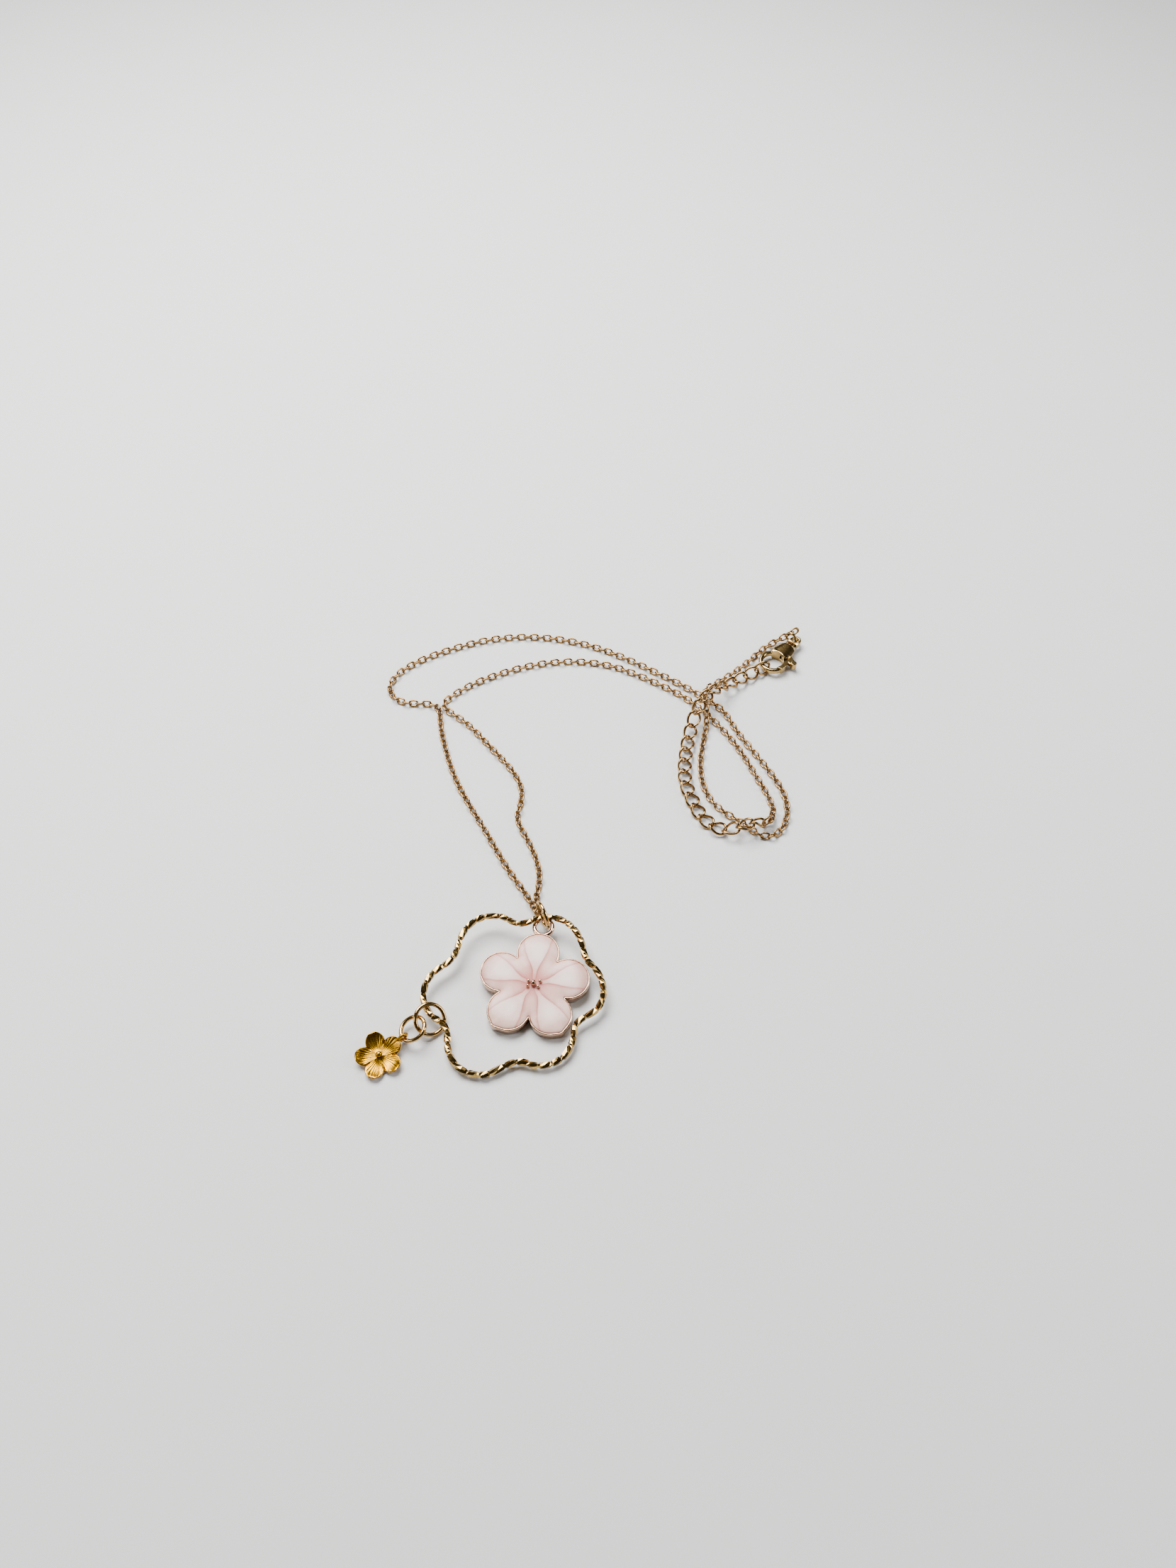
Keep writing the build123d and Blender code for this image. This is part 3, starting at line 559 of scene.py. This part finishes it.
def domed(points):
    """The clasp's body with a rounded back and a waist before its eye."""
    axes = turned_axes(CLASP_TURN)
    x, y, z = ((points / MM - CLASP_MIDDLE) @ axes.T).T
    wide = np.interp(x, [BODY_AT, EYE_AT], [BODY_WIDE, EYE_WIDE])
    on_body = np.interp(x, BACK_PLACES, [0, 1, 1, 0])
    z = z * (1 - on_body * BACK_FALL * np.clip(np.abs(y) / wide, 0, 1) ** BACK_POWER)
    z = z * waist(x, *WAIST_HEIGHT)
    y = y * waist(x, *WAIST_WIDTH)
    return (np.stack([x, y, z], axis=1) @ axes + CLASP_MIDDLE) * MM


def softened(node, body, voxel, rounds, form=None):
    """A CAD piece of the clasp with its edges rounded, then brought to a form."""
    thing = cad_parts[node]
    mesh = thing.data.copy()
    mesh.transform(thing.matrix_world)
    made = put_in_scene(node + "_soft", mesh)
    remesh = made.modifiers.new("remesh", "REMESH")
    remesh.mode = "VOXEL"
    remesh.voxel_size = voxel * MM
    made.modifiers.new("smooth", "SMOOTH").iterations = rounds
    seen = made.evaluated_get(bpy.context.evaluated_depsgraph_get())
    mesh = bpy.data.meshes.new_from_object(seen)
    made.modifiers.clear()
    made.data = mesh
    if form:
        points = form(np.array([v.co for v in mesh.vertices]))
        mesh.vertices.foreach_set("co", points.ravel())
        mesh.update()
    mesh.materials.clear()
    mesh.materials.append(materials["clasp"])
    mesh.polygons.foreach_set("use_smooth", [True] * len(mesh.polygons))
    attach(made, body)
    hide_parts(node)


softened("clasp_body", "necklace", 0.065, 12, domed)
softened("clasp_lever", "lever", 0.055, 10)


# ---------------------------------------------------------------- blossom
PETAL_RADIUS, PETAL_OFFSET, BLOSSOM_TURN = 4.1, 6.65, 11.5
RIM_HEIGHT, RIM_WALL, BLOSSOM_TILT = 1.9, 0.4, math.radians(4)
# Two petals end in a blunt corner: its radius, its reach and the petals' numbers.
CORNER_RADIUS, CORNER_REACH, CORNER_PETALS = 1.2, 11.0, (3, 4)
CORNER_STEPS = 30
# A circle of a petal counts only within this angle to each side of its middle, in radians.
PETAL_SECTOR = 1.2
petal_turns = np.radians(BLOSSOM_TURN + 72 * np.arange(5))
blossom_low = PETAL_RADIUS - PETAL_OFFSET * np.sin(petal_turns).min()
BLOSSOM_MIDDLE = np.array([-12.7, -36.7, blossom_low * math.sin(BLOSSOM_TILT)]) + SHIFT


def blossom_place(points):
    """From the blossom's own axes to the whole's."""
    x, y, z = np.asarray(points).T
    c, s = math.cos(BLOSSOM_TILT), math.sin(BLOSSOM_TILT)
    return np.stack([x, y * c - z * s, y * s + z * c], axis=1) + BLOSSOM_MIDDLE


def angle_between(theta, turn):
    return np.angle(np.exp(1j * (theta - turn)))


def outline_reach(theta):
    """Reach of the blossom's outline in each direction."""
    reach = np.zeros(theta.shape)
    for n, turn in enumerate(petal_turns):
        off = angle_between(theta, turn)
        for t in np.linspace(0, 1, CORNER_STEPS) if n in CORNER_PETALS else (0.0,):
            middle = PETAL_OFFSET + t * (CORNER_REACH - CORNER_RADIUS - PETAL_OFFSET)
            size = PETAL_RADIUS + t * (CORNER_RADIUS - PETAL_RADIUS)
            inside = size**2 - (middle * np.sin(off)) ** 2
            far = middle * np.cos(off) + np.sqrt(np.maximum(inside, 0))
            seen = (inside > 0) & (np.abs(off) < PETAL_SECTOR)
            reach = np.maximum(reach, np.where(seen, far, 0))
    return reach


def around_points(theta, reach):
    return np.stack([reach * np.cos(theta), reach * np.sin(theta)], axis=-1)


def nearest(points, line):
    """Distance from each point to the points of a line, taken in parts to spare memory."""
    near = np.full(len(points), np.inf)
    for part in np.array_split(line, 12):
        near = np.minimum(near, np.linalg.norm(points[:, None] - part[None], axis=2).min(1))
    return near


rim_turns = turns(1440)
rim_line = around_points(rim_turns, outline_reach(rim_turns))
theta = turns(540)
count = len(theta)


def drawn_in(distance):
    """Reach of the outline drawn in by a distance, in each direction of theta."""
    low_reach, high_reach = np.zeros(count), outline_reach(theta)
    for _ in range(14):
        middle = (low_reach + high_reach) / 2
        inside = nearest(around_points(theta, middle), rim_line) > distance
        low_reach = np.where(inside, middle, low_reach)
        high_reach = np.where(inside, high_reach, middle)
    return low_reach


# ---------------------------------------------------------------- blossom's metal tray
# Distance in from the outline and height of each row: the outer wall, the rounded rim, and
# the inside down past the enamel.
TRAY = [
    (0.30, 0.0), (0.07, 0.05), (0.0, 0.20), (0.0, RIM_HEIGHT - 0.24),
    (0.035, RIM_HEIGHT - 0.10), (0.12, RIM_HEIGHT - 0.01), (0.20, RIM_HEIGHT),
    (0.29, RIM_HEIGHT - 0.03), (RIM_WALL - 0.03, RIM_HEIGHT - 0.13),
    (RIM_WALL, RIM_HEIGHT - 0.45),
]
# Direction, reach and radius of each bead.
BEADS = [(0.0, 0.0, 0.55), (20.0, 1.35, 0.34), (-35.0, 1.1, 0.34), (150.0, 1.05, 0.34),
         (205.0, 1.15, 0.34)]
# The beads stand this high, each on a post that reaches down under the enamel.
BEAD_FOOT, POST_FOOT, POST_RADIUS = 2.40, 1.6, 0.2
EYE_ANGLE, EYE_REACH, EYE_HEIGHT = math.radians(82.8), 12.63, 0.65
EYE_RADIUS, EYE_WIRE_RADIUS = 1.75, 0.45

tray_rows = []
for distance, height in TRAY:
    row = around_points(theta, drawn_in(distance) if distance else outline_reach(theta))
    tray_rows.append(np.column_stack([row, np.full(count, height)]))
tray_points = np.concatenate([*tray_rows, [[0, 0, 0]]])
tray_faces = loop_faces(len(TRAY), count)
tray_faces += [((k + 1) % count, k, len(tray_points) - 1) for k in range(count)]
setting_parts = [(tray_points, tray_faces)]

eye_form, eye_faces = torus(EYE_RADIUS, EYE_WIRE_RADIUS, 56, 16)
eye_middle = (EYE_REACH * math.cos(EYE_ANGLE), EYE_REACH * math.sin(EYE_ANGLE), EYE_HEIGHT)
setting_parts.append((eye_form + eye_middle, eye_faces))

for angle, reach, size in BEADS:
    x, y = reach * math.cos(math.radians(angle)), reach * math.sin(math.radians(angle))
    setting_parts.append(ball(size, (x, y, BEAD_FOOT + size), 14, 24))
    setting_parts.append(post(POST_RADIUS, x, y, POST_FOOT, BEAD_FOOT + size, 12))

setting_points, setting_faces = joined(setting_parts)
setting = mesh_object(
    "blossom_tray", blossom_place(setting_points), setting_faces, materials["setting"])
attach(setting, "necklace")
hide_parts("blossom_setting")


# ---------------------------------------------------------------- blossom's enamel
# The enamel reaches a little into the rim, and starts a little below its top.
INTO_RIM, BELOW_RIM = 0.03, 0.1
DOME_WIDTH, DOME_RISE = 2.8, 0.60
DIP_DEPTH, DIP_WIDTH = 0.08, 2.6
# Rows of points from the middle out, closer together towards the edge.
ENAMEL_ROWS, ROW_POWER = 56, 1.35

enamel_reach = drawn_in(RIM_WALL - INTO_RIM)
enamel_line = around_points(theta, enamel_reach)
rows = 1 - (1 - np.linspace(0, 1, ENAMEL_ROWS)) ** ROW_POWER
grid = rows[:, None] * enamel_reach[None, :]
flat_grid = around_points(np.broadcast_to(theta, grid.shape), grid).reshape(-1, 2)
radius = np.linalg.norm(flat_grid, axis=1)
edge = np.clip(nearest(flat_grid, enamel_line) / DOME_WIDTH, 0, 1)
lift = DOME_RISE * np.sqrt(np.clip(1 - (1 - edge) ** 2, 0, 1))
lift -= DIP_DEPTH * np.exp(-((radius / DIP_WIDTH) ** 2))
enamel_points = blossom_place(np.column_stack([flat_grid, RIM_HEIGHT - BELOW_RIM + lift]))
# The first row is all one point, so its faces are left out and a fan closes the middle.
enamel_faces = turned_over(loop_faces(ENAMEL_ROWS, count))[count:]
enamel_faces += [(0, count + k, count + (k + 1) % count) for k in range(count)]

# Colours of the enamel: cloudy pale pink, a painted highlight on the middle of each petal, dusky
# tips, a deep heart and veins. Each but the first is laid on by a value of the same name at each
# point.
enamel_nodes = Nodes("pink_enamel")
clouds = enamel_nodes.noise(420, 5.0, 0.62)
tone = enamel_nodes.mix(
    enamel_nodes.span(clouds, 0, 1, 0.35, 0.7), (0.79, 0.49, 0.42), (0.93, 0.65, 0.57))
for layer, colour in (("painted_highlight", (1.0, 0.84, 0.79)), ("tip", (0.50, 0.25, 0.20)),
                      ("heart", (0.60, 0.20, 0.17)), ("vein", (0.46, 0.115, 0.09))):
    tone = enamel_nodes.mix(enamel_nodes.attribute(layer), tone, colour)
enamel_nodes.set("Base Color", tone)
enamel_nodes.set("Roughness", enamel_nodes.span(clouds, 0.30, 0.42))
enamel_nodes.set("Specular IOR Level", 0.25)
enamel_nodes.set("Coat Weight", 0.18)
enamel_nodes.set("Coat Roughness", 0.10)

# Each petal has a vein to each side of its middle: radius and angle, and how much wider it
# runs on the right and on the left of each petal.
VEINS = [(0.0, 24), (1.6, 15), (2.6, 10), (3.6, 12.5), (5.2, 16.5), (7.0, 18), (9.3, 16.5),
         (11.5, 15)]
VEIN_LEAN = [(1.0, 1.0), (0.85, 1.15), (1.0, 1.05), (0.95, 1.3), (1.25, 0.9)]
# Strength and width of a vein's sharp side, of its line, and strength of its soft side.
VEIN_EDGE, VEIN_LINE, LINE_STRENGTH, SOFT_STRENGTH = 0.16, 0.11, 0.40, 0.72
# How dusky the tip of each petal is.
TIP_TONES = np.array([0.60, 0.50, 0.60, 0.28, 0.30])

bearing = np.arctan2(flat_grid[:, 1], flat_grid[:, 0])
offs = angle_between(bearing[:, None], petal_turns[None, :])
petal = np.abs(offs).argmin(1)
off = np.degrees(offs[np.arange(len(petal)), petal])
lean = np.array(VEIN_LEAN)[petal, (off > 0).astype(int)]
vein_angle = np.interp(radius, *zip(*VEINS)) * lean
past = np.radians(np.abs(off) - vein_angle) * radius
soft = np.interp(radius, [0, 3.0, 7.0, 11.0], [0.85, 0.72, 0.42, 0.26])
width = np.where(past > 0, soft, VEIN_EDGE)
vein = SOFT_STRENGTH * np.exp(-((past / width) ** 2))
vein += LINE_STRENGTH * np.exp(-((past / VEIN_LINE) ** 2))
vein *= np.interp(radius, [0, 1.2, 3.0, 6.0, 9.0, 11.0], [0.2, 0.85, 0.95, 0.66, 0.50, 0.40])
valley = np.clip((np.abs(off) - 15) / 21, 0, 1)
valley *= np.interp(radius, [0.8, 2.5, 5.5, 8.0], [0, 1, 0.75, 0.2])
heart = 0.62 * np.exp(-((radius / 2.4) ** 4)) + 0.24 * np.exp(-((radius / 4.8) ** 2))
layers = {
    "vein": np.clip(vein, 0, 1),
    # Painted highlight: a lighter patch in the middle of each petal, painted in for the lamp's
    # reflection on the dome.
    "painted_highlight": 0.85 * np.exp(-(((radius - 6.2) / 2.3) ** 2)) * np.exp(-((off / 16) ** 2)),
    "heart": np.clip(heart + 0.26 * valley, 0, 1),
    "tip": np.clip((radius - 7.9) / 1.7, 0, 1) * TIP_TONES[petal],
}

enamel = mesh_object("enamel_dome", enamel_points, enamel_faces, enamel_nodes.material)
for layer, values in layers.items():
    enamel.data.attributes.new(layer, "FLOAT", "POINT").data.foreach_set("value", values)
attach(enamel, "necklace")
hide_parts("blossom_enamel")


# ---------------------------------------------------------------- charm flower
CHARM_TILT = math.radians(8)
CHARM_MIDDLE = np.array([-40.3, -50.2, 0.6624]) + SHIFT
CHARM_TURN = 40.0
# The petals lie on a sphere of radius CUP, whose lowest place is DISH below the charm's
# middle, CUP_REACH out along each petal. SHEET is their thickness.
CUP, CUP_REACH, DISH, SHEET = 4.8, 1.5, 0.2, 0.45
PETAL_MIDDLE, PETAL_LONG, PETAL_WIDE = 2.65, 1.8, 1.8
# Points of a petal along and across, closer together towards its tip and its sides.
PETAL_ROWS, PETAL_COLUMNS, PETAL_ROW_POWER = 34, 57, 1.5
# A petal starts at its root as a sector of this half angle, in degrees.
ROOT_START, ROOT_END, ROOT_SPREAD = 0.25, 1.3, 36.3
# From here on the petal thins to its tip.
THINNING_START = 3.7
# Grooves: depth, spacing in degrees, and how sharp they are.
GROOVE_DEPTH, GROOVE_PITCH, GROOVE_POWER = 0.11, 8.4, 2.5
CENTRE_BALL, CENTRE_POST = 0.62, 0.45
CHARM_EYE_REACH, CHARM_EYE_HEIGHT = 5.1, 0.55


def smooth_step(value, low, high):
    t = np.clip((value - low) / (high - low), 0, 1)
    return t * t * (3 - 2 * t)


tip_end = PETAL_MIDDLE + PETAL_LONG
xs = 1 - (1 - np.linspace(0, 1, PETAL_ROWS)) ** PETAL_ROW_POWER
xs = ROOT_START + (tip_end - ROOT_START) * xs
vs = np.sin(np.linspace(-np.pi / 2, np.pi / 2, PETAL_COLUMNS))
ellipse = PETAL_WIDE * np.sqrt(np.clip(1 - ((xs - PETAL_MIDDLE) / PETAL_LONG) ** 2, 0, 1))
sector = xs * math.tan(math.radians(ROOT_SPREAD))
widths = np.where(xs < ROOT_END, sector, np.minimum(sector, ellipse))
px, pv = np.meshgrid(xs, vs, indexing="ij")
py = pv * widths[:, None]
under = CUP - DISH - np.sqrt(np.maximum(CUP**2 - (px - CUP_REACH) ** 2 - py**2, 0))
side = np.abs(pv) ** 7 * smooth_step(px, 1.2, 2.0)
end = np.clip((px - THINNING_START) / (tip_end - THINNING_START), 0, 1) ** 3
thick = SHEET * np.sqrt(np.clip(1 - np.maximum(side, end), 0, 1))
ray = np.degrees(np.arctan2(py, px))
depth = smooth_step(px, 0.7, 1.5) * (1 - smooth_step(px, 3.5, 4.3)) * (1 - side)
depth *= GROOVE_DEPTH
petal_faces = []
for i in range(len(xs) - 1):
    for k in range(len(vs) - 1):
        a = i * len(vs) + k
        petal_faces.append((a, a + len(vs), a + len(vs) + 1, a + 1))

charm_parts = []
for n in range(5):
    # The grooves waver along the petal and fade across it, each petal in its own way.
    waver, spread, fade = (chance.uniform(0, 2 * math.pi) for _ in range(3))
    bent = ray + 1.6 * np.sin(px * 1.3 + waver) + 0.9 * np.sin(ray / 5 + spread)
    strength = 0.62 + 0.38 * np.sin(bent / 11 + fade)
    groove = (0.5 + 0.5 * np.cos(2 * np.pi * bent / GROOVE_PITCH)) ** GROOVE_POWER * strength
    spin = turned_axes(math.radians(CHARM_TURN + 72 * n))
    for height, faces in ((under + thick - depth * groove, petal_faces),
                          (under, [face[::-1] for face in petal_faces])):
        charm_parts.append((np.stack([px, py, height], axis=-1).reshape(-1, 3) @ spin, faces))
charm_parts.append(ball(CENTRE_BALL, (0, 0, SHEET + CENTRE_BALL), 18, 32))
charm_parts.append(post(CENTRE_POST, 0, 0, 0.1, 1.0, 20))

# The eye stands on edge beyond the first petal.
c, s = math.cos(math.radians(CHARM_TURN)), math.sin(math.radians(CHARM_TURN))
eye_form, eye_faces = torus(0.95, 0.3, 40, 14)
eye_axes = np.array([[c, s, 0], [0, 0, 1], [s, -c, 0]])
eye_middle = (CHARM_EYE_REACH * c, CHARM_EYE_REACH * s, CHARM_EYE_HEIGHT)
charm_parts.append((eye_form @ eye_axes + eye_middle, eye_faces))

charm_points, charm_faces = joined(charm_parts)
c, s = math.cos(CHARM_TILT), math.sin(CHARM_TILT)
charm_points = charm_points @ np.array([[1, 0, 0], [0, c, s], [0, -s, c]]) + CHARM_MIDDLE
charm = mesh_object("charm_petals", charm_points, charm_faces, materials["charm"])
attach(charm, "necklace")
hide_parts("charm_flower")
